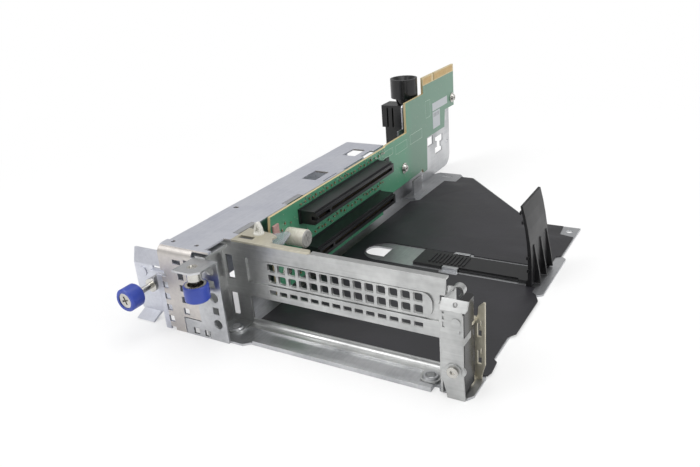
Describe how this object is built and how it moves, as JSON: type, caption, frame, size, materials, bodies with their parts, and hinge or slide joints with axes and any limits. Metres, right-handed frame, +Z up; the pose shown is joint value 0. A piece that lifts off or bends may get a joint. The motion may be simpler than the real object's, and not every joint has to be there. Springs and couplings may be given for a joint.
{
  "type": "riser cage bracket",
  "caption": "Riser cage bracket of folded steel for two expansion cards, with its riser board, sliding card guide and thumbscrews, upside down as on a bench.",
  "frame": {"origin": "on the underside of the base plate, below the left end of the card slots, in the plane of their outer face", "axes": "+X along the card slots, from the board to the latch; +Y from the slots back towards the edge contacts; +Z up, away from the surface that it lies on"},
  "size_m": [0.1826, 0.3003, 0.0795],
  "materials": {
    "zinc": "satin",
    "panel_steel": "satin",
    "film": "satin",
    "black_plastic": "satin",
    "board": "satin",
    "gold": "satin",
    "screw_steel": "satin",
    "knob_blue": "satin",
    "sleeve": "matt",
    "nylon": "satin"
  },
  "bodies": {
    "cage": {"base_plate": "zinc", "insulating_film": "film", "slot_frame": "zinc", "cage_channel": "panel_steel", "front_panel": "zinc", "foot_grommets": "zinc", "board_carrier": "zinc", "retainer_post": "zinc", "post_screw": "screw_steel", "latch_flange": "panel_steel", "slot_filler": "zinc", "top_bracket": "panel_steel", "support_clip": "nylon", "clear_tongue": "nylon", "riser_board": "board", "edge_contacts": "gold", "connector_upper": "black_plastic", "connector_lower": "black_plastic", "capacitor": "sleeve", "board_standoffs": "screw_steel", "board_screws": "screw_steel", "board_hook": "zinc", "locating_socket": "black_plastic", "socket_post": "black_plastic", "screw_ferrules": "screw_steel"},
    "guide": {"card_guide": "black_plastic"},
    "latch": {"slot_latch": "black_plastic", "latch_band": "zinc"},
    "left_ring": {"left_clip": "screw_steel"},
    "left_thumbscrew": {"left_screw": "screw_steel", "left_knob": "knob_blue"},
    "right_ring": {"right_clip": "screw_steel"},
    "right_thumbscrew": {"right_screw": "screw_steel", "right_knob": "knob_blue"}
  },
  "joints": [
    {"name": "guide_slide", "type": "slide", "parent": "cage", "child": "guide", "axis": [-1, 0, 0], "range_m": [0, 0.03]},
    {"name": "latch_hinge", "type": "hinge", "parent": "cage", "child": "latch", "pos_m": [0.1134, -0.0037, 0.02], "axis": [0, 0, 1], "range_deg": [0, 75]},
    {"name": "left_travel", "type": "slide", "parent": "cage", "child": "left_ring", "axis": [0, 1, 0], "range_m": [0, 0.0145]},
    {"name": "left_turn", "type": "hinge", "parent": "left_ring", "child": "left_thumbscrew", "pos_m": [-0.048, -0.02, 0.0215], "axis": [0, 1, 0], "continuous": true},
    {"name": "right_travel", "type": "slide", "parent": "cage", "child": "right_ring", "axis": [0, 0, 1], "range_m": [0, 0.0034]},
    {"name": "right_turn", "type": "hinge", "parent": "right_ring", "child": "right_thumbscrew", "pos_m": [-0.0086, -0.026, 0.03], "axis": [0, 0, 1], "continuous": true}
  ]
}
